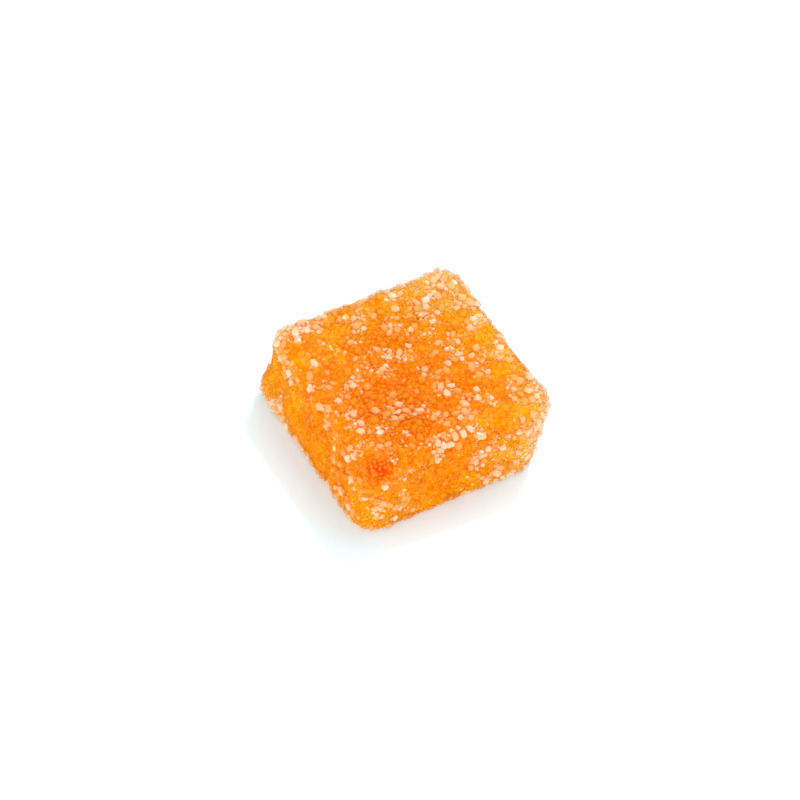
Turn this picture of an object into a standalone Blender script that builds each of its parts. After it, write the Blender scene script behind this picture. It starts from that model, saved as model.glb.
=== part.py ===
"""Sugared fruit jelly: a soft square sweet, cast in a shallow mould and rolled in coarse sugar.

The jelly is one skin: a grid wrapped round a rounded square block, with a dished top, raised corners and an
uneven foot. The largest sugar grains are small crystal blocks pressed into that skin and fused to it.
The sweet stands on its flat underside at Z = 0, centred on the origin, with its sides along X and Y.
"""

import math
import random

import bmesh
import bpy
from mathutils import Matrix, Vector, noise

MM = 0.001

# The jelly block, in millimetres
FOOT_WIDTH = 21.5  # across the flats, where it stands
TOP_WIDTH = 21.9  # across the flats, at the shoulder
HEIGHT = 9.55  # at the middle of a side's top edge
CORNER_RADIUS = 2.4  # of the upright corners, in plan
SHOULDER_RADIUS = 1.7  # of the edge round the top
FOOT_RADIUS = 0.45  # of the edge round the underside
TOP_DISH = 0.45  # how far the middle of the top has sunk
TOP_PINCH = 0.01  # share by which the middle of each top edge draws in
CORNER_LIFT = 0.3  # how far the top's corners stand above its edges
CORNER_FADE = 0.6  # how quickly the corner radius shrinks towards the middle of the top
CORNER_LEAST = 0.05  # the smallest that it shrinks to

# Each corner's own unevenness: its side in X and in Y, then foot out, top out and top up, in millimetres
UNEVEN_CORNERS = (
    (-1, -1, 0.10, -0.30, -0.30),
    (1, -1, 0.40, 0.00, 0.00),
    (1, 1, -0.85, 0.00, 0.65),
    (-1, 1, 0.00, 0.65, 0.05),
)
LUMP_OUT = 1.1  # a lump low on the corner at -X -Y, where the jelly has spread
LUMP_LEVEL, LUMP_SPREAD = 2.2, 1.5  # its height above the underside, and its half height
CORNER_PULL, LUMP_PULL = 1.5, 6  # how tightly the unevenness and the lump keep to their corners
LIFT_PULL = 1.5  # how tightly the dish and the lifted corners keep to the top
SWELL, SWELL_LENGTH, SWELL_START = 0.10, 7.0, 3.1  # broad unevenness of the skin
BUMP, BUMP_LENGTH = 0.14, 1.3  # bumps left by the finer grains

# The grid of the skin
ACROSS = 20  # cells along each side
UP = 8  # cells up each side
EDGE_CROWDING = 0.35  # draws the grid lines towards the corners

# The largest sugar grains
GRAINS = 300
GRAIN_LONGEST, GRAIN_SHORTEST = 1.00, 0.62
GRAIN_SPACING = 1.30  # least distance between two grains
GRAIN_SUNK = 0.42  # share of a grain's thickness that is pressed into the jelly
GRAIN_LEAN = 0.22  # slope of a crystal's end faces
GRAIN_CUT = 0.32  # share of a grain's thickness that its two cut edges take
GRAIN_TILT = 0.28  # usual tilt of a grain, in radians
SLIMMEST, WIDEST = 0.66, 0.92  # a grain's width as a share of its length
THINNEST, THICKEST = 0.50, 0.72  # and its thickness
SIDE_LOW, SIDE_HIGH = 0.08, 0.98  # share of a side's height between which grains lie
GRAIN_CLEAR_OF_FLOOR = 0.06  # least gap under a grain
GRAIN_SEED = 11
TOP_SHARE = 0.42  # share of the grains that lie on the top
BARE_PATCHES = (  # where hardly any sugar stuck: X, Y and Z of the middle, then the radius
    (-9.8, -10.4, 4.6, 2.0),
    (-3.2, -10.9, 4.4, 1.9),
    (0.6, -10.9, 3.8, 1.9),
    (10.9, -2.2, 3.9, 2.0),
)

EIGHTH_TURN = 1 - math.sqrt(0.5)  # how far in the middle of a quarter-round edge lies, in radii


def clear_scene():
    for item in list(bpy.data.objects):
        bpy.data.objects.remove(item)


def make_material():
    jelly = bpy.data.materials.new("sugared_jelly")
    jelly.use_nodes = True
    shader = jelly.node_tree.nodes["Principled BSDF"]
    shader.inputs["Base Color"].default_value = (0.95, 0.35, 0.05, 1)
    shader.inputs["Roughness"].default_value = 0.35
    shader.inputs["Metallic"].default_value = 0.0
    return jelly


def quarter_round(depth, radius):
    """How far a rounded edge has drawn back, at this depth from where it starts."""
    short = max(radius - depth, 0.0)
    return radius - math.sqrt(radius**2 - short**2)


def half_width(share_up):
    """Half the jelly's width at this share of its height."""
    return (FOOT_WIDTH + (TOP_WIDTH - FOOT_WIDTH) * share_up) / 2


def rounded_square(edge_x, edge_y, half, radius):
    """The place on a rounded square that matches (edge_x, edge_y) on the edge of the unit square."""
    straight = max(half - radius, 0.0)
    x, y = edge_x * half, edge_y * half
    core_x = min(max(x, -straight), straight)
    core_y = min(max(y, -straight), straight)
    off_x, off_y = x - core_x, y - core_y
    away = math.hypot(off_x, off_y)
    if away < 1e-9:
        return x, y
    pull = max(abs(off_x), abs(off_y)) / away
    return core_x + off_x * pull, core_y + off_y * pull


def nearness(toward_x, toward_y):
    """How near a corner a place is: 1 at the corner, 1/4 at the middle and 0 along the far sides."""
    return max(1 + toward_x, 0) * max(1 + toward_y, 0) / 4


def uneven(x, y, z, half):
    """Carries a place on the regular block to the real one, with its sunken top and odd corners."""
    up = min(max(z / HEIGHT, 0.0), 1.0)
    across_x, across_y = x / half, y / half
    lift = up**LIFT_PULL
    dish = (1 - across_x**2) * (1 - across_y**2)
    z += lift * (CORNER_LIFT * across_x**2 * across_y**2 - TOP_DISH * dish)
    moved_x = x * (1 - TOP_PINCH * lift * (1 - across_y**2))
    moved_y = y * (1 - TOP_PINCH * lift * (1 - across_x**2))
    sunken_z = z
    for side_x, side_y, foot_out, top_out, top_up in UNEVEN_CORNERS:
        near = nearness(side_x * across_x, side_y * across_y) ** CORNER_PULL
        out = (foot_out + (top_out - foot_out) * up) * near * math.sqrt(0.5)
        moved_x += side_x * out
        moved_y += side_y * out
        z += top_up * near * lift
    lump = LUMP_OUT * math.exp(-(((sunken_z - LUMP_LEVEL) / LUMP_SPREAD) ** 2))
    lump *= nearness(-across_x, -across_y) ** LUMP_PULL * math.sqrt(0.5)
    return Vector((moved_x - lump, moved_y - lump, z))


def wall_station(share):
    """(inset, height) of the side's profile, from the foot at 0 to the shoulder's middle at 1."""
    foot_end, shoulder_start = 0.15, 0.75
    if share < foot_end:
        turn = share / foot_end * math.pi / 2
        return FOOT_RADIUS * (1 - math.sin(turn)), FOOT_RADIUS * (1 - math.cos(turn))
    if share < shoulder_start:
        along = (share - foot_end) / (shoulder_start - foot_end)
        return 0.0, FOOT_RADIUS + along * (HEIGHT - FOOT_RADIUS - SHOULDER_RADIUS)
    turn = (share - shoulder_start) / (1 - shoulder_start) * math.pi / 4
    height = HEIGHT - SHOULDER_RADIUS * (1 - math.sin(turn))
    return SHOULDER_RADIUS * (1 - math.cos(turn)), height


def smooth_skin(u, v, up):
    """The skin at (u, v) of the top where up is 1, and otherwise at that share of the side's height."""
    reach = max(abs(u), abs(v), 1e-6)
    edge_x, edge_y = u / reach, v / reach
    if up >= 1:
        half = half_width(1.0)
        shoulder = EIGHTH_TURN * SHOULDER_RADIUS
        inset = shoulder + (half - shoulder) * (1 - reach)
        height = HEIGHT - quarter_round(inset, SHOULDER_RADIUS)
    else:
        inset, height = wall_station(up)
        half = half_width(height / HEIGHT)
    corner = max(CORNER_RADIUS - CORNER_FADE * inset, CORNER_LEAST)
    x, y = rounded_square(edge_x, edge_y, half - inset, corner)
    return uneven(x, y, height, half)


def skin_normal(u, v, up):
    """The way the smooth skin faces, from two short steps along it."""
    step = 0.01
    here = smooth_skin(u, v, up)
    if up >= 1:
        one = smooth_skin(u + step, v, 1) - here
        other = smooth_skin(u, v + step, 1) - here
    elif abs(u) > abs(v):
        one = smooth_skin(u, v + step, up) - here
        other = smooth_skin(u, v, up + step) - here
    else:
        one = smooth_skin(u + step, v, up) - here
        other = smooth_skin(u, v, up + step) - here
    normal = one.cross(other).normalized()
    outward = Vector((here.x, here.y, here.z - HEIGHT / 2))
    return normal if normal.dot(outward) > 0 else -normal


def bumpy_skin(u, v, up):
    """The smooth skin with its broad swells and fine bumps. The underside's edge stays flat."""
    here = smooth_skin(u, v, up)
    if up <= 0:
        return here
    swell = SWELL * noise.noise(here / SWELL_LENGTH + Vector((SWELL_START, 0, 0)))
    bump = BUMP * noise.noise(here / BUMP_LENGTH)
    fade = min(here.z / FOOT_RADIUS, 1.0)
    return here + skin_normal(u, v, min(up, 1)) * (swell + bump) * fade


def grid_line(index):
    """The place of a grid line across the block, from -1 to 1, crowded towards the ends."""
    even = 2 * index / ACROSS - 1
    return (1 - EDGE_CROWDING) * even + EDGE_CROWDING * math.sin(even * math.pi / 2)


def rim_steps():
    """The (u, v) places round the edge of the unit square, anticlockwise seen from above."""
    lines = [grid_line(i) for i in range(ACROSS)]
    return (
        [(a, -1.0) for a in lines]
        + [(1.0, a) for a in lines]
        + [(-a, 1.0) for a in lines]
        + [(-1.0, -a) for a in lines]
    )


def make_jelly(material):
    """The jelly's skin: rings of cells up the side, a square grid on top and one flat face underneath."""
    mesh = bmesh.new()
    rings = [
        [mesh.verts.new(bumpy_skin(u, v, row / UP) * MM) for u, v in rim_steps()]
        for row in range(UP + 1)
    ]
    for low, high in zip(rings, rings[1:]):
        for i in range(len(low)):
            j = (i + 1) % len(low)
            mesh.faces.new((low[i], low[j], high[j], high[i]))
    mesh.faces.new(reversed(rings[0]))

    rim = {(round(u, 6), round(v, 6)): vert for (u, v), vert in zip(rim_steps(), rings[-1])}
    lines = [grid_line(i) for i in range(ACROSS + 1)]
    top = [
        [
            rim.get((round(u, 6), round(v, 6))) or mesh.verts.new(bumpy_skin(u, v, 1) * MM)
            for v in lines
        ]
        for u in lines
    ]
    for i in range(ACROSS):
        for j in range(ACROSS):
            mesh.faces.new((top[i][j], top[i + 1][j], top[i + 1][j + 1], top[i][j + 1]))

    bmesh.ops.recalc_face_normals(mesh, faces=mesh.faces)
    data = bpy.data.meshes.new("jelly")
    mesh.to_mesh(data)
    mesh.free()
    data.materials.append(material)
    jelly = bpy.data.objects.new("jelly", data)
    bpy.context.scene.collection.objects.link(jelly)
    return jelly


def sugar_grain(name, sizes):
    """A blocky sugar crystal: a box with two long edges bevelled off and leaning ends."""
    length, width, thickness = sizes
    mesh = bmesh.new()
    bmesh.ops.create_cube(mesh, size=1)
    bmesh.ops.scale(mesh, vec=(length * MM, width * MM, thickness * MM), verts=mesh.verts)
    worn = [
        edge
        for edge in mesh.edges
        if all(v.co.y * v.co.z > 0 for v in edge.verts) and abs(edge.verts[0].co.x - edge.verts[1].co.x) > 0
    ]
    bmesh.ops.bevel(
        mesh, geom=worn, offset=GRAIN_CUT * thickness * MM, segments=1, affect="EDGES", clamp_overlap=True
    )
    for vert in mesh.verts:
        vert.co.x += GRAIN_LEAN * vert.co.z
    data = bpy.data.meshes.new(name)
    mesh.to_mesh(data)
    mesh.free()
    return bpy.data.objects.new(name, data)


def is_bare(place):
    return any((place - Vector(patch[:3])).length < patch[3] for patch in BARE_PATCHES)


def grain_place(draw):
    """A place on the sugared skin, as (u, v, up), drawn evenly over the top and the four sides."""
    along = draw.uniform(-1, 1)
    if draw.random() < TOP_SHARE:
        return along, draw.uniform(-1, 1), 1
    across, up = draw.choice((-1.0, 1.0)), draw.uniform(SIDE_LOW, SIDE_HIGH)
    return (along, across, up) if draw.random() < 0.5 else (across, along, up)


def grain_stance(normal, draw):
    """A grain's turn: lying on its broad face, spun at random and a little tilted."""
    spin = Matrix.Rotation(draw.uniform(0, math.tau), 4, "Z")
    tilt = Matrix.Rotation(draw.gauss(0, GRAIN_TILT), 4, "X")
    return normal.to_track_quat("Z", "Y").to_matrix().to_4x4() @ spin @ tilt


def reach_down(stance, sizes):
    """How far a grain reaches below its own middle."""
    length, width, thickness = sizes
    slanted = (length + GRAIN_LEAN * thickness, width, thickness)
    return sum(abs(stance[2][k]) * size / 2 for k, size in enumerate(slanted))


def make_grains():
    """The largest grains, the biggest first, each pressed into the skin and clear of the others."""
    draw = random.Random(GRAIN_SEED)
    grains = bpy.data.collections.new("sugar_grains")
    bpy.context.scene.collection.children.link(grains)
    taken = []
    while len(taken) < GRAINS:
        length = GRAIN_LONGEST - (GRAIN_LONGEST - GRAIN_SHORTEST) * len(taken) / GRAINS
        width = length * draw.uniform(SLIMMEST, WIDEST)
        thickness = length * draw.uniform(THINNEST, THICKEST)
        u, v, up = grain_place(draw)
        spot, normal = smooth_skin(u, v, up), skin_normal(u, v, up)
        stance = grain_stance(normal, draw)
        middle = spot + normal * thickness * (0.5 - GRAIN_SUNK)
        sizes = (length, width, thickness)
        if middle.z - reach_down(stance, sizes) < GRAIN_CLEAR_OF_FLOOR or is_bare(middle):
            continue
        if any((middle - other).length < GRAIN_SPACING for other in taken):
            continue
        taken.append(middle)
        grain = sugar_grain(f"grain_{len(taken):03d}", sizes)
        grain.matrix_world = Matrix.Translation(middle * MM) @ stance
        grains.objects.link(grain)
    return grains


def fuse(jelly, grains):
    """Joins the grains to the jelly as one solid, then removes them."""
    union = jelly.modifiers.new("sugar", "BOOLEAN")
    union.operation = "UNION"
    union.operand_type = "COLLECTION"
    union.collection = grains
    union.solver = "EXACT"
    graph = bpy.context.evaluated_depsgraph_get()
    joined = bpy.data.meshes.new_from_object(jelly.evaluated_get(graph))
    jelly.modifiers.remove(union)
    jelly.data = joined
    for grain in list(grains.objects):
        bpy.data.objects.remove(grain)
    bpy.data.collections.remove(grains)


def stand_on_origin(jelly):
    """Centres the sweet over the origin, with its flat underside at Z = 0."""
    corners = [Vector(corner) for corner in jelly.bound_box]
    low = Vector(min(c[k] for c in corners) for k in range(3))
    high = Vector(max(c[k] for c in corners) for k in range(3))
    middle = (low + high) / 2
    jelly.data.transform(Matrix.Translation((-middle.x, -middle.y, -low.z)))


def main():
    clear_scene()
    jelly = make_jelly(make_material())
    fuse(jelly, make_grains())
    stand_on_origin(jelly)
    jelly.data.shade_smooth()
    jelly.data.set_sharp_from_angle(angle=math.radians(35))


main()
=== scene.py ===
# %% [markdown]
# # A sugared fruit jelly
# This lesson dresses one small sweet: a soft square of orange fruit jelly that was cast in a shallow mould
# and then rolled in coarse sugar. The solid sweet already exists, so the first step loads it. It fixes the
# size and the place of everything that follows, and it is never moved.

# %% Load the solid sweet
import math
import random
from collections import namedtuple

import bpy
import numpy as np
from mathutils import Euler, Matrix, noise, Vector


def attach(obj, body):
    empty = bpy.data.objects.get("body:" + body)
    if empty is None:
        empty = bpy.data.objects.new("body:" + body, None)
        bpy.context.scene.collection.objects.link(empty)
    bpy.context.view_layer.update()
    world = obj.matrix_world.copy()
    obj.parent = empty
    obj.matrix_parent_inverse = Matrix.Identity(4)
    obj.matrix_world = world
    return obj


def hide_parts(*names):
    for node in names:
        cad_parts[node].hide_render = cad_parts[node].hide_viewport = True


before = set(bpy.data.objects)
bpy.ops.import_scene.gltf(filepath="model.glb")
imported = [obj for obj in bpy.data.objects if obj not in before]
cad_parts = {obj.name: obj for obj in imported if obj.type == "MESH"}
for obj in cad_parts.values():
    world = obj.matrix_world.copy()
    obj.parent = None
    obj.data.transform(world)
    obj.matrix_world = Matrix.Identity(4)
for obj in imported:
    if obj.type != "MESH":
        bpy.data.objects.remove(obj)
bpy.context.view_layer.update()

# %% [markdown]
# ## The jelly's shape
# A cast jelly is a rounded square block that has gone soft: its top has sunk a little, its corners stand
# up, and no two corners are alike. It could be sculpted by hand, but a formula is easier to change and can
# be asked for the surface at any place, which the sugar needs later. The formula wraps a flat square grid
# round the block, and these are its sizes in millimetres. They are those of the solid sweet.

# %% Sizes of the jelly
MM = 0.001
FOOT_WIDTH = 21.5  # across the flats, where it stands
TOP_WIDTH = 21.9  # across the flats, at the shoulder
HEIGHT = 9.55  # at the middle of a side's top edge
CORNER_RADIUS = 2.4  # of the upright corners, in plan
SHOULDER_RADIUS = 1.7  # of the edge round the top
FOOT_RADIUS = 0.45  # of the edge round the underside
print("regular block:", FOOT_WIDTH, "to", TOP_WIDTH, "mm wide and", HEIGHT, "mm high")

# %% [markdown]
# ## A rounded square block
# A mould gives the sweet flat sides and rounded edges. A cube with a bevel would do for that, but a bevel's
# faces bunch up in the corners and leave the flats bare. Here the edge of a plain square is bent into one
# with round corners, so that evenly spaced cells stay nearly even.

# %% The rounded square
TINY = 1e-9  # the least that is ever divided by


def quarter_round(depth, radius):
    """How far a rounded edge has drawn back, at this depth from where it starts."""
    short = max(radius - depth, 0.0)
    return radius - math.sqrt(radius**2 - short**2)


def half_width(share_up):
    """Half the jelly's width at this share of its height."""
    return (FOOT_WIDTH + (TOP_WIDTH - FOOT_WIDTH) * share_up) / 2


def rounded_square(edge_x, edge_y, half, radius):
    """The place on a rounded square that matches (edge_x, edge_y) on the edge of the unit square."""
    straight = max(half - radius, 0.0)
    x, y = edge_x * half, edge_y * half
    core_x = min(max(x, -straight), straight)
    core_y = min(max(y, -straight), straight)
    off_x, off_y = x - core_x, y - core_y
    away = math.hypot(off_x, off_y)
    if away < TINY:
        return x, y
    pull = max(abs(off_x), abs(off_y)) / away
    return core_x + off_x * pull, core_y + off_y * pull


round_corner = rounded_square(1, 1, half_width(1), CORNER_RADIUS)
print("a corner of the top, once rounded:", [round(c, 2) for c in round_corner], "mm")

# %% [markdown]
# ## Sunken top, odd corners
# Warm jelly shrinks as it sets and slumps as it is handled. The middle of the top sinks, each corner lifts
# and spreads by its own amount, and one corner has a low lump where it has run out a little. A lattice
# could bend the block like this, but then the sugar would have to be bent with it. A function that carries
# any place on the regular block to the real one serves both.

# %% From the regular block to the real one
TOP_DISH = 0.45  # how far the middle of the top has sunk
TOP_PINCH = 0.01  # share by which the middle of each top edge draws in
CORNER_LIFT = 0.3  # how far the top's corners stand above its edges

# Each corner: its side in X and in Y, then foot out, top out and top up
UNEVEN_CORNERS = (
    (-1, -1, 0.10, -0.30, -0.30),
    (1, -1, 0.40, 0.00, 0.00),
    (1, 1, -0.85, 0.00, 0.65),
    (-1, 1, 0.00, 0.65, 0.05),
)
RISE_CURVE, CORNER_CURVE, LUMP_CURVE = 1.5, 1.5, 6  # more keeps a change nearer the top, or nearer its corner
LUMP_OUT = 1.1  # a lump low on the corner at -X -Y, where the jelly has spread
LUMP_LEVEL, LUMP_SPREAD = 2.2, 1.5  # its height above the underside, and its half height
DIAGONAL = math.sqrt(0.5)  # a step of 1 along the diagonal, measured in X or in Y


def nearness(toward_x, toward_y):
    """How near a corner a place is: 1 at the corner, 1/4 at the middle and 0 along the far sides."""
    return max(1 + toward_x, 0) * max(1 + toward_y, 0) / 4


def uneven(x, y, z, half):
    """Carries a place on the regular block to the real one, with its sunken top and odd corners."""
    up = min(max(z / HEIGHT, 0.0), 1.0)
    across_x, across_y = x / half, y / half
    lift = up**RISE_CURVE
    dish = (1 - across_x**2) * (1 - across_y**2)
    z += lift * (CORNER_LIFT * across_x**2 * across_y**2 - TOP_DISH * dish)
    moved_x = x * (1 - TOP_PINCH * lift * (1 - across_y**2))
    moved_y = y * (1 - TOP_PINCH * lift * (1 - across_x**2))
    level = z
    for side_x, side_y, foot_out, top_out, top_up in UNEVEN_CORNERS:
        near = nearness(side_x * across_x, side_y * across_y)
        out = (foot_out + (top_out - foot_out) * up) * near**CORNER_CURVE * DIAGONAL
        moved_x += side_x * out
        moved_y += side_y * out
        z += top_up * near**CORNER_CURVE * lift
    lump = LUMP_OUT * math.exp(-(((level - LUMP_LEVEL) / LUMP_SPREAD) ** 2))
    lump *= nearness(-across_x, -across_y) ** LUMP_CURVE * DIAGONAL
    return Vector((moved_x - lump, moved_y - lump, z))


print("middle of the top:", round(uneven(0, 0, HEIGHT, half_width(1)).z, 2), "mm up")

# %% [markdown]
# ## The skin at any place
# The skin of a real sweet is one sheet from the foot over the shoulder to the top. To ask for it anywhere,
# a place gets three numbers. On the top, u and v run across it from -1 to 1. On a side, one of them is -1
# or 1, and `up` runs from 0 at the foot to 1 at the shoulder. The underside uses u and v too, with `up`
# below 0.

# %% The smooth skin
FOOT_END, SHOULDER_START = 0.15, 0.75  # where the round foot ends and the round shoulder starts, up a side
EIGHTH_TURN = 1 - math.sqrt(0.5)  # how far in the middle of a quarter-round edge lies, in radii
CORNER_TIGHTENS = 0.6  # by how much a corner's radius shrinks for each millimetre inwards
TIGHTEST_CORNER = 0.05  # and the least that it shrinks to


def wall_station(share):
    """(inset, height) of the side's profile, from the foot at 0 to the shoulder's middle at 1."""
    if share < FOOT_END:
        turn = share / FOOT_END * math.pi / 2
        return FOOT_RADIUS * (1 - math.sin(turn)), FOOT_RADIUS * (1 - math.cos(turn))
    if share < SHOULDER_START:
        along = (share - FOOT_END) / (SHOULDER_START - FOOT_END)
        return 0.0, FOOT_RADIUS + along * (HEIGHT - FOOT_RADIUS - SHOULDER_RADIUS)
    turn = (share - SHOULDER_START) / (1 - SHOULDER_START) * math.pi / 4
    height = HEIGHT - SHOULDER_RADIUS * (1 - math.sin(turn))
    return SHOULDER_RADIUS * (1 - math.cos(turn)), height


def smooth_skin(u, v, up):
    """The skin at (u, v) of the top where up is 1, and otherwise at that share of the side's height."""
    reach = max(abs(u), abs(v), TINY)
    edge_x, edge_y = u / reach, v / reach
    if up >= 1:
        half = half_width(1.0)
        shoulder = EIGHTH_TURN * SHOULDER_RADIUS
        inset = shoulder + (half - shoulder) * (1 - reach)
        height = HEIGHT - quarter_round(inset, SHOULDER_RADIUS)
    elif up < 0:
        half = half_width(0.0)
        inset, height = FOOT_RADIUS + (half - FOOT_RADIUS) * (1 - reach), 0.0
    else:
        inset, height = wall_station(up)
        half = half_width(height / HEIGHT)
    corner = max(CORNER_RADIUS - CORNER_TIGHTENS * inset, TIGHTEST_CORNER)
    x, y = rounded_square(edge_x, edge_y, half - inset, corner)
    return uneven(x, y, height, half)


highest = max((smooth_skin(u, v, 1) for u in (-1, 1) for v in (-1, 1)), key=lambda place: place.z)
print("highest corner of the skin:", [round(c, 2) for c in highest], "mm")

# %% [markdown]
# ## The way the skin faces
# Every grain lies flat on the skin, so it needs to know which way the skin faces there. A finished mesh has
# normals, but only at its own points. Two short steps along the skin, crossed with each other, give the
# direction at any place at all.

# %% Facing
STEP = 0.01  # of u, v or up


def skin_normal(u, v, up):
    """The way the smooth skin faces, from two short steps along it."""
    if up < 0:
        return Vector((0, 0, -1))
    here = smooth_skin(u, v, up)
    if up >= 1:
        one = smooth_skin(u + STEP, v, 1) - here
        other = smooth_skin(u, v + STEP, 1) - here
    elif abs(u) > abs(v):
        one = smooth_skin(u, v + STEP, up) - here
        other = smooth_skin(u, v, up + STEP) - here
    else:
        one = smooth_skin(u + STEP, v, up) - here
        other = smooth_skin(u, v, up + STEP) - here
    normal = one.cross(other).normalized()
    outward = Vector((here.x, here.y, here.z - HEIGHT / 2))
    return normal if normal.dot(outward) > 0 else -normal


print("the side at +X faces", [round(c, 2) for c in skin_normal(1, 0, 0.5)])

# %% [markdown]
# ## Bumps and dents in the skin
# Up close the jelly is never smooth. Broad swells come from the way it set, and finer bumps and dents from
# the sugar that was pressed into it. Displacement in the material would vanish from a plain model, so the
# vertices themselves are moved, by three layers of noise of falling size. The underside stands on its
# grains, so the jelly there is a hair off the floor.

# %% Bumpy skin
SWELL, SWELL_LENGTH = 0.10, 7.0  # broad unevenness of the skin
SWELL_PLACE = Vector((3.1, 0, 0))  # where in the noise the swells are taken from
BUMP, BUMP_LENGTH = 0.14, 1.3  # bumps left by the finer grains
DENT, DENT_LENGTH = 0.07, 0.45  # small dents where grains have pressed in or fallen off
UNDERSIDE_HOLLOW = 0.12  # how far the grains under the sweet hold its jelly off the floor
HOLLOW_EDGE = 0.05  # the share of the way in from the rim over which it rises to that
UNDERSIDE_BUMPS = 0.5  # share of the bumps and dents that the underside shows


def bumpy_skin(u, v, up):
    """The smooth skin with its broad swells, bumps and small dents."""
    here = smooth_skin(u, v, up)
    swell = SWELL * noise.noise(here / SWELL_LENGTH + SWELL_PLACE)
    bump = BUMP * noise.noise(here / BUMP_LENGTH)
    dent = DENT * noise.noise(here / DENT_LENGTH)
    if up < 0:
        inwards = min((1 - max(abs(u), abs(v))) / HOLLOW_EDGE, 1)
        return here + Vector((0, 0, UNDERSIDE_HOLLOW * inwards + UNDERSIDE_BUMPS * abs(bump + dent)))
    fade = min(here.z / FOOT_RADIUS, 1.0)
    return here + skin_normal(u, v, min(up, 1)) * (swell + bump + dent) * fade


strays = [(bumpy_skin(k / 10, 0, 1) - smooth_skin(k / 10, 0, 1)).length for k in range(-9, 10)]
print("the skin strays by up to", round(max(strays), 2), "mm along the middle of the top")

# %% [markdown]
# ## A grid for the jelly
# The jelly's mesh is three parts that share their rims: rings of cells up the side, a square grid on top
# and another underneath. A remesh would give even cells too, but it blurs the small bumps. The grid lines
# crowd a little towards the edges, where the skin bends most.

# %% Grid lines and rim
ACROSS = 96  # cells along each side
UP = 36  # cells up each side
CROWDING = 0.35  # 0 spaces the grid lines evenly


def grid_line(index):
    """The place of a grid line across the block, from -1 to 1."""
    even = 2 * index / ACROSS - 1
    return (1 - CROWDING) * even + CROWDING * math.sin(even * math.pi / 2)


LINES = [grid_line(i) for i in range(ACROSS + 1)]
RIM = (
    [(i, 0) for i in range(ACROSS)]
    + [(ACROSS, i) for i in range(ACROSS)]
    + [(i, ACROSS) for i in range(ACROSS, 0, -1)]
    + [(0, i) for i in range(ACROSS, 0, -1)]
)
print("cells round the rim:", len(RIM))

# %% [markdown]
# ## The jelly as a mesh
# The real sweet is one closed lump, so its mesh is closed too: the light that wanders inside it needs an
# inside. Each ring of cells is sewn to the next by number, and the two caps pick up the numbers of the rim.

# %% Build the jelly
def cap_faces(rim_start, verts, up):
    """A square grid that closes the top (up = 1) or the underside (up = -1), sewn to the ring of the rim."""
    number = {place: rim_start + k for k, place in enumerate(RIM)}
    for i in range(ACROSS + 1):
        for j in range(ACROSS + 1):
            if (i, j) not in number:
                number[i, j] = len(verts)
                verts.append(bumpy_skin(LINES[i], LINES[j], up) * MM)
    faces = []
    for i in range(ACROSS):
        for j in range(ACROSS):
            cell = [number[i, j], number[i + 1, j], number[i + 1, j + 1], number[i, j + 1]]
            faces.append(cell if up > 0 else cell[::-1])
    return faces


def jelly_mesh():
    verts, faces = [], []
    for row in range(UP + 1):
        verts += [bumpy_skin(LINES[i], LINES[j], row / UP) * MM for i, j in RIM]
    around = len(RIM)
    for row in range(UP):
        for k in range(around):
            low, high = row * around, (row + 1) * around
            following = (k + 1) % around
            faces.append((low + k, low + following, high + following, high + k))
    faces += cap_faces(UP * around, verts, 1)
    faces += cap_faces(0, verts, -1)
    mesh = bpy.data.meshes.new("jelly_body")
    mesh.from_pydata(verts, [], faces)
    mesh.shade_smooth()
    return mesh


JELLY_MESH = jelly_mesh()
print("jelly:", len(JELLY_MESH.vertices), "points")

# %% [markdown]
# ## Lining up with the solid
# The solid sweet is centred by its outermost grains, and the formula by its block, so they differ by a
# hair. Moving pieces by eye would do, but measuring is surer. Both have the same flat foot, so the middle
# of one foot is set on the middle of the other.

# %% Middle of a foot
TOUCHES_FLOOR = 0.01  # anything lower than this stands on the floor


def foot_middle(places):
    """The middle of the box round those places that touch the floor, in metres."""
    foot = [(p[0], p[1]) for p in places if p[2] < TOUCHES_FLOOR * MM]
    low, high = np.min(foot, axis=0), np.max(foot, axis=0)
    return Vector(((low[0] + high[0]) / 2, (low[1] + high[1]) / 2, 0))


solid_foot = foot_middle([v.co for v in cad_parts["jelly"].data.vertices])
block_foot = foot_middle([smooth_skin(LINES[i], LINES[j], 0) * MM for i, j in RIM])
SET_ON = Matrix.Translation(solid_foot - block_foot)
print("the block moves by", [round(c / MM, 3) for c in solid_foot - block_foot], "mm")

# %% [markdown]
# ## Adding a piece
# The jelly and each kind of sugar is a piece of the one sweet, so all are added alike: the mesh is set on
# the solid's place, gets its material, and rides with the solid. Parenting each piece by hand would be easy
# to forget, so one helper does it.

# %% A helper for pieces
def add_piece(name, mesh, material):
    """Puts a mesh made on the block in the scene, as a piece of the sweet that rides with the solid."""
    mesh.transform(SET_ON)
    mesh.materials.append(material)
    piece = bpy.data.objects.new(name, mesh)
    bpy.context.scene.collection.objects.link(piece)
    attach(piece, "root")
    print(f"{name}: {len(mesh.polygons)} faces")
    return piece


print("pieces will ride with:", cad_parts["jelly"].name)
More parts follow.
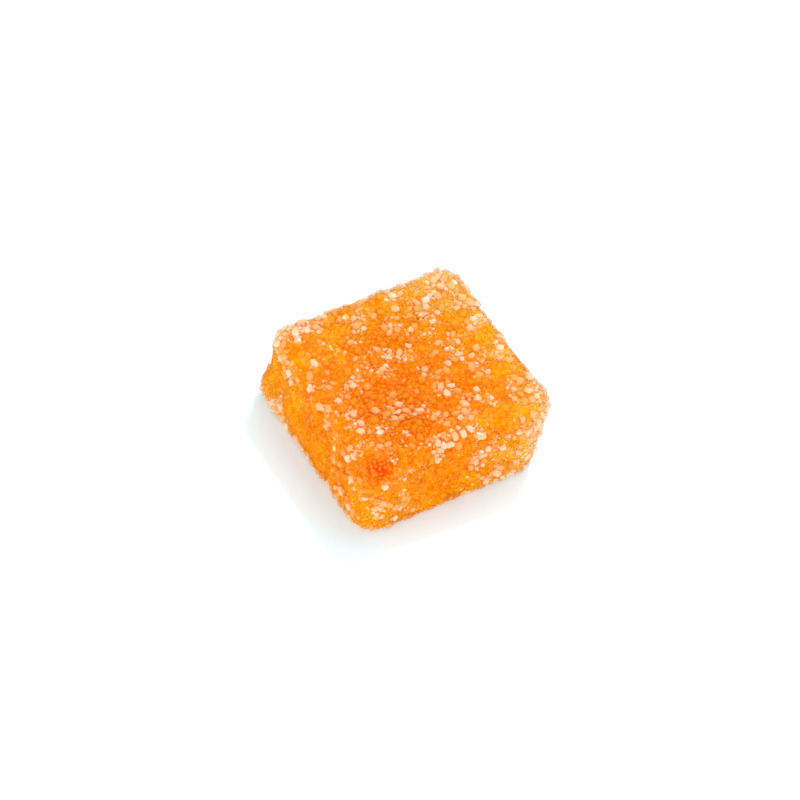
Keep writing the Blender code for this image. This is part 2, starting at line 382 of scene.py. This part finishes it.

# %% [markdown]
# ## Jelly, the material
# Set fruit jelly is full of light: it passes through the thin edges and comes out amber, and where the
# sweet is thick it turns a deep orange. Subsurface scattering makes that, with red light travelling
# furthest. A flat colour would still look like plastic, so the colour is also painted from deep to amber
# with the distance from the thick middle, which is painted glow of the light that thin jelly lets through,
# and it drifts in soft clouds, because no batch of jelly is even. One small spot near the front corner of
# the top is painted deep red.

# %% Jelly colours
# The deepest colour is painted round this place and pales with distance: painted glow, as thin jelly lets
# more light through.
THICK_OF_IT = (3.8, -3.8, 8.0)  # the deepest colour lies round this place, in millimetres
THIN_BY = 17.0  # and has all gone at this distance from it
RED_SPOT, RED_SPOT_REACH = (10.5, -9.8, 8.6), 6.0  # its middle, and where it has all gone
CLOUD_SIZE, CLOUD_SHARE = 4.0, 0.4  # size of the clouds, and how much they count beside the distance
JELLY_STOPS = (  # from the deepest colour to the thinnest
    (0.07, (0.90, 0.06, 0.0)),
    (0.28, (0.90, 0.18, 0.0)),
    (0.50, (0.93, 0.26, 0.0)),
    (0.62, (0.96, 0.33, 0.0)),
    (0.82, (0.98, 0.50, 0.02)),
)
print("the jelly goes through", len(JELLY_STOPS), "colours, over", THIN_BY, "mm")

# %% [markdown]
# ## Colour that drifts
# A jelly's colour is a mixture that never settles evenly. Painting it by hand would need a picture to be
# kept with the sweet. Nodes work it out instead: a ramp turns a number into a colour, and the number comes
# from noise, for the clouds, or from the distance to some place.

# %% Helpers for materials
CLOUD_DETAIL = 3.0  # how many times finer noise is added to the clouds


def new_material(name):
    material = bpy.data.materials.new(name)
    material.use_nodes = True
    nodes = material.node_tree.nodes
    return material, nodes, material.node_tree.links, nodes["Principled BSDF"]


def ramp(nodes, links, factor, stops):
    """A colour that follows a number from 0 to 1 through these stops."""
    node = nodes.new("ShaderNodeValToRGB")
    elements = node.color_ramp.elements
    elements[0].position, elements[1].position = stops[0][0], stops[-1][0]
    elements[0].color, elements[1].color = (*stops[0][1], 1), (*stops[-1][1], 1)
    for position, colour in stops[1:-1]:
        elements.new(position).color = (*colour, 1)
    links.new(factor, node.inputs["Fac"])
    return node.outputs["Color"]


def clouds(nodes, links, size):
    """A number that drifts from place to place, in soft patches of about this size in millimetres."""
    place = nodes.new("ShaderNodeTexCoord")
    cloud = nodes.new("ShaderNodeTexNoise")
    cloud.inputs["Scale"].default_value = 1 / (size * MM)
    cloud.inputs["Detail"].default_value = CLOUD_DETAIL
    links.new(place.outputs["Object"], cloud.inputs["Vector"])
    return cloud.outputs["Fac"]


def distance_from(nodes, links, place, reach):
    """0 at this place in millimetres, growing to 1 at that reach and on beyond it."""
    where = nodes.new("ShaderNodeTexCoord")
    apart = nodes.new("ShaderNodeVectorMath")
    apart.operation = "DISTANCE"
    apart.inputs[1].default_value = [c * MM for c in place]
    links.new(where.outputs["Object"], apart.inputs[0])
    share = nodes.new("ShaderNodeMath")
    share.operation = "DIVIDE"
    share.inputs[1].default_value = reach * MM
    links.new(apart.outputs["Value"], share.inputs[0])
    return share.outputs["Value"]


print("clouds of colour are", CLOUD_SIZE, "mm across")

# %% [markdown]
# ## The jelly's finish
# The colour takes the nearer of two distances, to the thick middle or to the red spot, so that one ramp
# serves both. The skin of jelly under sugar is damp but pitted, so it is neither matt nor mirror-like, and
# its faint shine must not turn the deep orange pale.

# %% Jelly material
SCATTER_REACH = (1.0, 0.35, 0.08)  # how far red, green and blue light travel in the jelly, in scatter scales
SCATTER_SCALE = 1.6  # in millimetres
JELLY_ROUGHNESS, JELLY_IOR, JELLY_SHINE = 0.32, 1.42, 0.05


def jelly_colour_with_painted_glow(nodes, links):
    """The jelly's colour at each place, with painted glow: amber where it is thin, deep where it is thick."""
    away = distance_from(nodes, links, THICK_OF_IT, THIN_BY)
    blend = nodes.new("ShaderNodeMix")
    blend.data_type = "FLOAT"
    blend.inputs["Factor"].default_value = CLOUD_SHARE
    links.new(away, blend.inputs[2])
    links.new(clouds(nodes, links, CLOUD_SIZE), blend.inputs[3])
    nearest = nodes.new("ShaderNodeMath")
    nearest.operation = "MINIMUM"
    links.new(blend.outputs[0], nearest.inputs[0])
    links.new(distance_from(nodes, links, RED_SPOT, RED_SPOT_REACH), nearest.inputs[1])
    return ramp(nodes, links, nearest.outputs["Value"], JELLY_STOPS)


def jelly_material():
    material, nodes, links, shader = new_material("orange_jelly")
    links.new(jelly_colour_with_painted_glow(nodes, links), shader.inputs["Base Color"])
    shader.inputs["Subsurface Weight"].default_value = 1.0
    shader.inputs["Subsurface Radius"].default_value = SCATTER_REACH
    shader.inputs["Subsurface Scale"].default_value = SCATTER_SCALE * MM
    shader.inputs["Roughness"].default_value = JELLY_ROUGHNESS
    shader.inputs["IOR"].default_value = JELLY_IOR
    shader.inputs["Specular IOR Level"].default_value = JELLY_SHINE
    return material


jelly = add_piece("jelly_body", JELLY_MESH, jelly_material())
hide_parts("jelly")

# %% [markdown]
# ## A sugar grain
# Table sugar grows as small slanted blocks, and rubbing in the bag wears their edges round. Each grain
# starts as a cube with a corner, an edge middle and a face middle wherever its coordinates are -1, 0 or 1.
# Dividing by a high power mean rounds the edges but keeps the faces nearly flat, and a random nudge makes
# every grain its own.

# %% One grain
GRAIN_LEAN = 0.22  # slope of a crystal's end faces
ROUNDNESS = 3.5  # 2 would be an egg, and a large number a sharp block
NUDGE = 0.24  # how far each point may stray, as a share of the grain


def worn(lattice):
    """Draws the points of a cube in, so that its edges go round while its faces stay nearly flat."""
    points = np.array(lattice, dtype=float)
    return points / (np.abs(points) ** ROUNDNESS).sum(axis=1, keepdims=True) ** (1 / ROUNDNESS)


def cube_sides():
    """Each side of the cube, as a function that turns a place on the side into one in space."""
    for axis in range(3):
        for side in (-1, 1):
            yield side, lambda a, b, axis=axis, side=side: tuple(int(c) for c in np.roll((side, a, b), axis))


print("a worn corner:", worn([(1, 1, 1)])[0].round(2))

# %% [markdown]
# ## Faces of a grain
# The larger grains show their shape, so each side of the block gets four square faces round a middle point.
# The finest ones are mere specks, and there are thousands of them, so four triangles a side are enough.
# Spheres would cost more and look like beads.

# %% Two kinds of block
QUARTERS = ((-1, -1), (0, -1), (0, 0), (-1, 0))  # the low corner of each quarter of a cube's side
RING = ((-1, -1), (1, -1), (1, 1), (-1, 1))  # the corners of a cube's side, in turn


def full_block():
    """Points and faces of a grain with four square faces on each side."""
    steps = (-1, 0, 1)
    lattice = [(a, b, c) for a in steps for b in steps for c in steps if (a, b, c) != (0, 0, 0)]
    number = {place: k for k, place in enumerate(lattice)}
    faces = []
    for side, at in cube_sides():
        for a, b in QUARTERS:
            face = [number[at(*step)] for step in ((a, b), (a + 1, b), (a + 1, b + 1), (a, b + 1))]
            faces.append(face if side > 0 else face[::-1])
    return worn(lattice), np.array(faces)


def small_block():
    """Points and faces of a grain with four triangles on each side, for the finest sugar."""
    lattice = [(a, b, c) for a in (-1, 1) for b in (-1, 1) for c in (-1, 1)]
    lattice += [at(0, 0) for side, at in cube_sides()]
    number = {place: k for k, place in enumerate(lattice)}
    faces = []
    for side, at in cube_sides():
        for start, end in zip(RING, RING[1:] + RING[:1]):
            face = [number[at(0, 0)], number[at(*start)], number[at(*end)]]
            faces.append(face if side > 0 else face[::-1])
    return worn(lattice), np.array(faces)


FULL_BLOCK, SMALL_BLOCK = full_block(), small_block()
print("points of a grain:", len(FULL_BLOCK[0]), "or", len(SMALL_BLOCK[0]))

# %% [markdown]
# ## Many grains in one mesh
# A kind of sugar is thousands of grains, and an object for each would choke Blender. Instances would vanish
# from a plain model. So all the grains of a kind are worked out as rows of numbers and joined into one mesh
# at once.

# %% Join the grains
def grains_mesh(name, grains, block, seed):
    """Joins grains, each (middle, stance, sizes) in millimetres, into one mesh."""
    stray = np.random.default_rng(seed)
    points, block_faces = block
    corners, faces = [], []
    for number, (middle, stance, sizes) in enumerate(grains):
        form = points * (1 + stray.uniform(-NUDGE, NUDGE, points.shape)) * np.array(sizes) / 2
        form[:, 0] += GRAIN_LEAN * form[:, 2]
        corners.append(form @ np.array(stance.to_3x3()).T + np.array(middle))
        faces.append(block_faces + number * len(points))
    corners = np.concatenate(corners)
    corners[:, 2] = np.maximum(corners[:, 2], 0)  # no grain reaches through the floor
    mesh = bpy.data.meshes.new(name)
    mesh.from_pydata(corners * MM, [], np.concatenate(faces).tolist())
    return mesh


print("a full grain strays by up to", NUDGE, "of its own size")

# %% [markdown]
# ## Bare patches
# Where the sweet was damp or was touched, hardly any sugar stuck, and smooth jelly shows. A painted mask
# could mark such places, but a short list of balls is enough: whatever lies in a ball is bare.

# %% Where little sugar stuck
BARE_PATCHES = (  # X, Y and Z of the middle, then the radius
    (-9.8, -10.4, 4.6, 2.0),
    (-3.2, -10.9, 4.4, 1.9),
    (0.6, -10.9, 3.8, 1.9),
    (10.9, -2.2, 3.9, 2.0),
)


def is_bare(place, patches=BARE_PATCHES, spread=1.0):
    """Whether a place lies in a bare patch, with its radius made this many times as large."""
    return any((place - Vector(patch[:3])).length < patch[3] * spread for patch in patches)


print("bare patches:", len(BARE_PATCHES))

# %% [markdown]
# ## How a grain lies
# A grain that falls on a sticky sweet comes to rest on its broad face, turned any way and seldom quite
# flat. A turn can be built from three angles, but it is plainer to tip the grain upright to the skin, spin
# it, and lean it a little.

# %% Place and turn of a grain
TOP_SHARE = 0.42  # share of the grains that lie on the top
SIDE_LOW, SIDE_HIGH = 0.08, 0.98  # how far up the sides grains lie


def grain_place(draw):
    """A place on the sugared skin, as (u, v, up), drawn evenly over the top and the four sides."""
    along = draw.uniform(-1, 1)
    if draw.random() < TOP_SHARE:
        return along, draw.uniform(-1, 1), 1
    across, up = draw.choice((-1.0, 1.0)), draw.uniform(SIDE_LOW, SIDE_HIGH)
    return (along, across, up) if draw.random() < 0.5 else (across, along, up)


def grain_stance(normal, draw, tilt):
    """A grain's turn: lying on its broad face, spun at random and a little tilted."""
    spin = Matrix.Rotation(draw.uniform(0, math.tau), 4, "Z")
    lean = Matrix.Rotation(draw.gauss(0, tilt), 4, "X")
    return normal.to_track_quat("Z", "Y").to_matrix().to_4x4() @ spin @ lean


def reach_down(stance, sizes):
    """How far a grain reaches below its own middle."""
    length, width, thickness = sizes
    slanted = (length + GRAIN_LEAN * thickness, width, thickness)
    return sum(abs(stance[2][k]) * size / 2 for k, size in enumerate(slanted))


print("a flat grain 0.6 mm thick reaches down", reach_down(Matrix.Identity(4), (1, 0.8, 0.6)), "mm")

# %% [markdown]
# ## Where the largest grains lie
# The solid sweet carries its largest grains already. Their places could be read from its mesh, but the same
# rule with the same random draws finds them again, sizes and turns as well: the biggest first, and each
# clear of the others.

# %% The solid's own grains
GRAINS = 300
GRAIN_LONGEST, GRAIN_SHORTEST = 1.00, 0.62  # in millimetres
SLIMMEST, WIDEST = 0.66, 0.92  # a grain's width, as a share of its length
THINNEST, THICKEST = 0.50, 0.72  # its thickness, as a share of its length
GRAIN_SPACING = 1.30  # least distance between two grains
GRAIN_SUNK = 0.42  # share of a grain's thickness that is pressed into the jelly
GRAIN_TILT = 0.28  # how far grains lean, in radians, as a usual spread
GRAIN_CLEAR_OF_FLOOR = 0.06  # least height of a grain's lowest corner
GRAIN_SEED = 11


def largest_grains():
    draw = random.Random(GRAIN_SEED)
    grains = []
    while len(grains) < GRAINS:
        length = GRAIN_LONGEST - (GRAIN_LONGEST - GRAIN_SHORTEST) * len(grains) / GRAINS
        width, thickness = length * draw.uniform(SLIMMEST, WIDEST), length * draw.uniform(THINNEST, THICKEST)
        u, v, up = grain_place(draw)
        spot, normal = smooth_skin(u, v, up), skin_normal(u, v, up)
        stance = grain_stance(normal, draw, GRAIN_TILT)
        middle = spot + normal * thickness * (0.5 - GRAIN_SUNK)
        sizes = (length, width, thickness)
        if middle.z - reach_down(stance, sizes) < GRAIN_CLEAR_OF_FLOOR or is_bare(middle):
            continue
        if any((middle - other[0]).length < GRAIN_SPACING for other in grains):
            continue
        grains.append((middle, stance, sizes))
    return grains


largest = largest_grains()
print("largest grains:", len(largest))

# %% [markdown]
# ## Room for more grains
# Thousands of smaller grains fill the gaps. A particle system could scatter them, but it knows nothing of
# the grains that are there already. So each new grain is thrown at a random place and kept only if it lands
# clear of the others. Comparing it with every grain would take minutes, so the space is cut into boxes a
# millimetre wide, and it is compared only with the grains in the boxes round it.

# %% A map of the sugar
class SugarMap:
    """Remembers where grains lie, in small boxes, so that near neighbours are found quickly."""

    def __init__(self):
        self.boxes = {}

    def key(self, place):
        return tuple(int(math.floor(c)) for c in place)

    def add(self, place, room):
        self.boxes.setdefault(self.key(place), []).append((place, room))

    def is_free(self, place, room):
        a, b, c = self.key(place)
        for i in (a - 1, a, a + 1):
            for j in (b - 1, b, b + 1):
                for k in (c - 1, c, c + 1):
                    for other, other_room in self.boxes.get((i, j, k), ()):
                        if (place - other).length < (room + other_room) / 2:
                            return False
        return True


LARGEST_ROOM = 0.8  # width of the room that a large grain takes, as a share of its length

sugar_map = SugarMap()
for middle, stance, sizes in largest:
    sugar_map.add(middle, sizes[0] * LARGEST_ROOM)
print("boxes in use:", len(sugar_map.boxes))

# %% [markdown]
# ## Where a thrown grain lands
# A real sweet is rolled about in the sugar, so grains reach every side of it and the underside too. They
# land in clumps with thinner places between them. Even chances would look like print on paper, so a cloud
# of noise gives each place its own chance.

# %% Landing places
UNDERSIDE_SHARE, THROWN_TOP_SHARE = 0.25, 0.4  # shares of the throws, by area
CLUMP_LENGTH = 2.4  # size of the clumps and the thinner places between them
CLUMP_PLACE = Vector((0, 7.7, 0))  # where in the noise the clumps are taken from
USUAL_CHANCE, CHANCE_SWING = 0.55, 1.1  # of sticking, and how far a clump or a thin place changes it


def any_place(draw):
    """A place on the whole skin, the underside included."""
    if draw.random() < UNDERSIDE_SHARE:
        return draw.uniform(-1, 1), draw.uniform(-1, 1), -1
    along = draw.uniform(-1, 1)
    if draw.random() < THROWN_TOP_SHARE:
        return along, draw.uniform(-1, 1), 1
    across, up = draw.choice((-1.0, 1.0)), draw.uniform(0, 1)
    return (along, across, up) if draw.random() < 0.5 else (across, along, up)


def crowding(spot):
    """The chance that a grain sticks here: sugar gathers in clumps."""
    return USUAL_CHANCE + CHANCE_SWING * noise.noise(spot / CLUMP_LENGTH + CLUMP_PLACE)


print("chance of sticking at the middle of the top:", round(crowding(smooth_skin(0, 0, 1)), 2))

# %% [markdown]
# ## Throwing the sugar
# When a sweet is shaken in a bag, coarse grains grip first and the finest fill whatever jelly still shows.
# So the layers go on by size. The finer the sugar, the deeper it is soaked in, the more evenly it spreads,
# and the less it minds a bare patch.

# %% Layers of thrown grains
RED_SPOT_BARE = 1.0  # little thrown sugar stuck this near the red spot either
WET_PATCHES = BARE_PATCHES + ((*RED_SPOT, RED_SPOT_BARE),)
# Lengths are in millimetres, closeness is a share of the length, and sunk a share of the thickness
Layer = namedtuple(
    "Layer", "throws longest shortest closeness tilt least_sunk most_sunk bare_share clumped seed"
)
COARSE = Layer(5000, 0.95, 0.45, 0.68, 0.5, 0.10, 0.40, bare_share=0.05, clumped=1.0, seed=21)
MEDIUM = Layer(26000, 0.48, 0.28, 0.72, 0.6, 0.15, 0.45, bare_share=0.30, clumped=0.6, seed=22)
FINE = Layer(80000, 0.30, 0.20, 0.75, 0.8, 0.25, 0.50, bare_share=0.90, clumped=0.2, seed=23)


def thrown_grains(layer):
    """The grains of a layer that found room, from the longest to the shortest."""
    draw = random.Random(layer.seed)
    grains = []
    for throw in range(layer.throws):
        length = layer.longest - (layer.longest - layer.shortest) * throw / layer.throws
        u, v, up = any_place(draw)
        spot = smooth_skin(u, v, up)
        chance = layer.bare_share if is_bare(spot, WET_PATCHES) else 1 - layer.clumped * (1 - crowding(spot))
        room = length * layer.closeness
        if draw.random() > chance or not sugar_map.is_free(spot, room):
            continue
        width, thickness = length * draw.uniform(SLIMMEST, WIDEST), length * draw.uniform(THINNEST, THICKEST)
        normal = skin_normal(u, v, up)
        stance = grain_stance(normal, draw, layer.tilt)
        middle = spot + normal * thickness * (0.5 - draw.uniform(layer.least_sunk, layer.most_sunk))
        sizes = (length, width, thickness)
        middle.z = max(middle.z, reach_down(stance, sizes))
        sugar_map.add(spot, room)
        grains.append((middle, stance, sizes))
    print("thrown", layer.throws, "and kept", len(grains), "of up to", layer.longest, "mm")
    return grains


coarse = thrown_grains(COARSE)
medium = thrown_grains(MEDIUM)
fine = thrown_grains(FINE)

# %% [markdown]
# ## Sugar, the material
# A sugar crystal is clear, but tiny flaws frost it, and moisture from the jelly soaks into it. A dry grain
# is a pale veil over the orange, and a soaked one all but vanishes. True glass would show this too, but
# light gets lost in thousands of small blocks that cut into each other, and they go grey. A thin cover is
# kinder: each finish hides only a share of what lies behind it. The shade differs from grain to grain by
# the random number that Blender gives to each loose part of a mesh.

# %% Sugar finishes
GLINT_TINT = (1.0, 0.85, 0.65)  # glints take some colour from the jelly's glow


def sugar_material(name, shades, cover, roughness, shine):
    """A finish that hides this share of what is behind it, in two shades or the jelly's colour and painted
    glow.
    """
    material, nodes, links, shader = new_material(name)
    if shades:
        each_grain = nodes.new("ShaderNodeNewGeometry").outputs["Random Per Island"]
        shade = ramp(nodes, links, each_grain, ((0.0, shades[0]), (1.0, shades[1])))
    else:
        shade = jelly_colour_with_painted_glow(nodes, links)
    links.new(shade, shader.inputs["Base Color"])
    shader.inputs["Alpha"].default_value = cover
    shader.inputs["Roughness"].default_value = roughness
    shader.inputs["Specular IOR Level"].default_value = shine
    shader.inputs["Specular Tint"].default_value = (*GLINT_TINT, 1)
    print(f"{name}: hides {cover:.0%} of what is behind it")
    return material


# Each finish: its deepest and palest grain, the share it hides, its roughness and its shine
# The orange in the frosted shades is painted glow, the jelly's light caught inside a dry grain; in the cloudy
# shades it is partly that glow and partly syrup soaked in.
FROSTED = sugar_material("frosted_sugar", ((1.0, 0.50, 0.20), (1.0, 0.76, 0.54)), 0.63, 0.2, 0.5)
CLOUDY = sugar_material("cloudy_sugar", ((1.0, 0.43, 0.07), (1.0, 0.61, 0.25)), 0.45, 0.25, 0.3)
FAINT = sugar_material("faint_sugar", ((0.95, 0.28, 0.01), (0.95, 0.42, 0.03)), 0.35, 0.2, 0.1)
SOAKED = sugar_material("soaked_sugar", None, 0.38, 0.3, 0.0)

# %% [markdown]
# ## Dry and soaked places
# Dry, pale sugar gathers in clumps. Grains are also dealt paler near the corners, far from the deep middle:
# that is painted glow, standing in for the light that thin jelly lets through. A ramp across the whole
# sweet would look like a spray. So the noise sets how pale a place is, nearness to a corner adds to it, and a
# random draw keeps neighbours from being all alike. The noise is built on a cubic lattice, and a flat face
# that lies along it would show its rows as streaks, so it is turned aside.

# %% Paleness
PALE_LENGTH = 1.8  # size of the pale clumps
PALE_TURN = Euler((0.6, 0.9, 0.4)).to_matrix()  # turns the lattice of the noise aside
# PALE_AT_CORNERS is painted glow: corners far from the deep middle are dealt paler, as thin jelly lets light
# through.
PALE_USUALLY, PALE_AT_CORNERS, PALE_BY_CLUMP, PALE_BY_CHANCE = 0.35, 0.42, 0.9, 0.22
CORNER_EVENNESS = 0.8  # how much less the sugar varies at a full corner
PALER_FROM, PALER_BY = 0.62, 0.22  # where it starts to go pale, as a share of THIN_BY, and over how much
CORNER_PLAN, FLATS_SHARE = 70.0, 0.35  # X times Y of a full corner, and how much of it the flats get
BARE_SPREAD = 1.7  # round a bare patch, grains are soaked out to this many radii


def paleness(place, draw):
    """How pale the sugar is at a place: about 0 if soaked and 1 if dry, with painted glow near the corners.
    """
    away = (place - Vector(THICK_OF_IT)).length / THIN_BY
    corner = min(max((away - PALER_FROM) / PALER_BY, 0), 1)
    corner *= min(max(abs(place.x * place.y) / CORNER_PLAN, FLATS_SHARE), 1)
    drift = PALE_BY_CLUMP * noise.noise(PALE_TURN @ place / PALE_LENGTH) + draw.gauss(0, PALE_BY_CHANCE)
    return PALE_USUALLY + PALE_AT_CORNERS * corner + drift * (1 - CORNER_EVENNESS * corner)


for corner_name, u, v in (("-X -Y", -1, -1), ("+X -Y", 1, -1), ("+X +Y", 1, 1), ("-X +Y", -1, 1)):
    print("paleness at the corner", corner_name, round(paleness(smooth_skin(u, v, 1), random.Random(0)), 2))

# %% [markdown]
# ## Laying the sugar
# On the sweet, a crystal is dry, cloudy or soaked through. One material could mix all three by a painted
# weight, but separate pieces keep their own finish in any program. Each grain is dealt to one by the
# paleness of its place, and fine sugar, which drinks the most, has to be palest of all to count as dry. Dry
# grains keep their flat faces, which catch the light, and moisture has smoothed the others.

# %% Deal out and lay the grains
def deal_out(grains, dry_above, cloudy_above, seed):
    """The dry, cloudy and soaked grains."""
    draw = random.Random(seed)
    dry, cloudy, soaked = [], [], []
    for grain in grains:
        pale = -1 if is_bare(grain[0], WET_PATCHES, BARE_SPREAD) else paleness(grain[0], draw)
        group = dry if pale > dry_above else cloudy if pale > cloudy_above else soaked
        group.append(grain)
    return dry, cloudy, soaked


def add_sugar(name, grains, block, dry_above, cloudy_above, wet_finish, seed):
    """Makes one piece of each finish from these grains."""
    groups = deal_out(grains, dry_above, cloudy_above, seed)
    for group, finish in zip(groups, (FROSTED, CLOUDY, wet_finish)):
        piece_name = f"{name}_{finish.name.split('_')[0]}"
        mesh = grains_mesh(piece_name, group, block, seed)
        if finish is not FROSTED:
            mesh.shade_smooth()
        add_piece(piece_name, mesh, finish)


# Each size: its grains and their block, how pale a dry and a cloudy grain are, and the finish of the rest
add_sugar("sugar_large", largest + coarse, FULL_BLOCK, 0.62, 0.42, FAINT, 31)
add_sugar("sugar_medium", medium, FULL_BLOCK, 0.76, 0.52, FAINT, 41)
add_sugar("sugar_fine", fine, SMALL_BLOCK, 0.90, 0.50, SOAKED, 51)

# %% [markdown]
# ## Floor
# The sweet lies on a plain white plate that glows a little, as if lit from below, so that its shadow stays
# soft and pale. Orange light from the jelly falls into that shadow, so the plate's white leans to blue to
# make up for it. A backdrop that curves up would also do, but from above only the floor shows.

# %% Floor
FLOOR_REACH = 2.0  # from its middle to each edge, in metres
FLOOR_TONES = ((0.3, (0.75, 0.835, 0.865)), (0.7, (0.76, 0.845, 0.875)))
FLOOR_CLOUDS = 400.0  # size of the clouds in its tone, in millimetres
FLOOR_ROUGHNESS, FLOOR_GLOW = 0.6, 0.08


def floor_material():
    material, nodes, links, shader = new_material("pale_floor")
    tone = ramp(nodes, links, clouds(nodes, links, FLOOR_CLOUDS), FLOOR_TONES)
    links.new(tone, shader.inputs["Base Color"])
    shader.inputs["Roughness"].default_value = FLOOR_ROUGHNESS
    shader.inputs["Emission Color"].default_value = (1, 1, 1, 1)
    shader.inputs["Emission Strength"].default_value = FLOOR_GLOW
    return material


floor_corners = [(x * FLOOR_REACH, y * FLOOR_REACH, 0) for x, y in ((-1, -1), (1, -1), (1, 1), (-1, 1))]
floor_mesh = bpy.data.meshes.new("floor")
floor_mesh.from_pydata(floor_corners, [], [(0, 1, 2, 3)])
floor_mesh.materials.append(floor_material())
floor = bpy.data.objects.new("floor", floor_mesh)
bpy.context.scene.collection.objects.link(floor)
print("floor:", 2 * FLOOR_REACH, "m across")

# %% [markdown]
# ## Light
# A bright, slightly cool room lights the sweet from all round. A large soft lamp behind it draws the pale
# shadow towards the viewer, a lower one on the viewer's side keeps the two near sides as bright as the top,
# and a small hard lamp gives the crystals their glints: a large one would only make them milky. A picture
# of a studio round the scene could light it too, but lamps can be moved one by one.

# %% Room and lamps
ROOM_LIGHT = 0.8
ROOM_COLOUR = (0.88, 1.0, 1.03)
LAMP_AIM = Vector((0, 0, 5 * MM))
LAMPS = (  # name, azimuth and elevation in degrees, distance and size in metres, watts
    ("key", 205, 61, 0.5, 0.4, 1.0),
    ("fill", 45, 20, 0.6, 0.5, 2.6),
    ("sparkle", 215, 60, 0.5, 0.04, 0.4),
)


def round_about(azimuth, elevation, distance):
    """A place this far from the sweet, in the direction that a view from these angles looks from."""
    a, e = math.radians(azimuth), math.radians(elevation)
    return Vector((math.sin(a) * math.cos(e), -math.cos(a) * math.cos(e), math.sin(e))) * distance


def add_lamp(name, azimuth, elevation, distance, size, watts):
    data = bpy.data.lights.new(name, "AREA")
    data.shape = "DISK"
    data.size = size
    data.energy = watts
    lamp = bpy.data.objects.new(name, data)
    bpy.context.scene.collection.objects.link(lamp)
    lamp.location = round_about(azimuth, elevation, distance)
    lamp.rotation_euler = (LAMP_AIM - lamp.location).to_track_quat("-Z", "Y").to_euler()
    print(f"{name} lamp: {watts} W from {distance} m")


world = bpy.data.worlds.new("white_room")
world.use_nodes = True
world.node_tree.nodes["Background"].inputs["Color"].default_value = (*ROOM_COLOUR, 1)
world.node_tree.nodes["Background"].inputs["Strength"].default_value = ROOM_LIGHT
bpy.context.scene.world = world
bpy.context.scene.view_settings.view_transform = "Standard"
for lamp_row in LAMPS:
    add_lamp(*lamp_row)

# %% [markdown]
# ## Camera
# The sweet is seen from above at an angle, corner first, with the camera a little rolled. A long lens from
# half a metre away keeps its sides nearly parallel, where a short one would make the near corner bulge. The
# camera looks at a point beside the sweet's middle, because the sweet lies a little off the frame's own
# middle.

# %% Camera
AZIMUTH, ELEVATION, ROLL = 53.4, 46.7, 9.0  # in degrees
DISTANCE = 0.45  # in metres
LENS = 198.2  # in millimetres
MIDDLE_UP = 5.0  # height of the sweet's middle, in millimetres
OFF_ACROSS, OFF_UP = 0.678, 0.494  # millimetres right of and above the frame's middle, as seen
CLIP_START = 0.01  # in metres

back = round_about(AZIMUTH, ELEVATION, 1)
level = Vector((math.cos(math.radians(AZIMUTH)), math.sin(math.radians(AZIMUTH)), 0))
upright = back.cross(level)
roll = math.radians(ROLL)
frame_right = level * math.cos(roll) + upright * math.sin(roll)
frame_up = upright * math.cos(roll) - level * math.sin(roll)
aim = (Vector((0, 0, MIDDLE_UP)) - frame_right * OFF_ACROSS - frame_up * OFF_UP) * MM

camera_data = bpy.data.cameras.new("camera")
camera_data.lens = LENS
camera_data.clip_start = CLIP_START
camera = bpy.data.objects.new("camera", camera_data)
bpy.context.scene.collection.objects.link(camera)
turn = Matrix((frame_right, frame_up, back)).transposed().to_4x4()
camera.matrix_world = Matrix.Translation(aim + back * DISTANCE) @ turn
bpy.context.scene.camera = camera
print("camera at", [round(c, 3) for c in camera.matrix_world.translation])
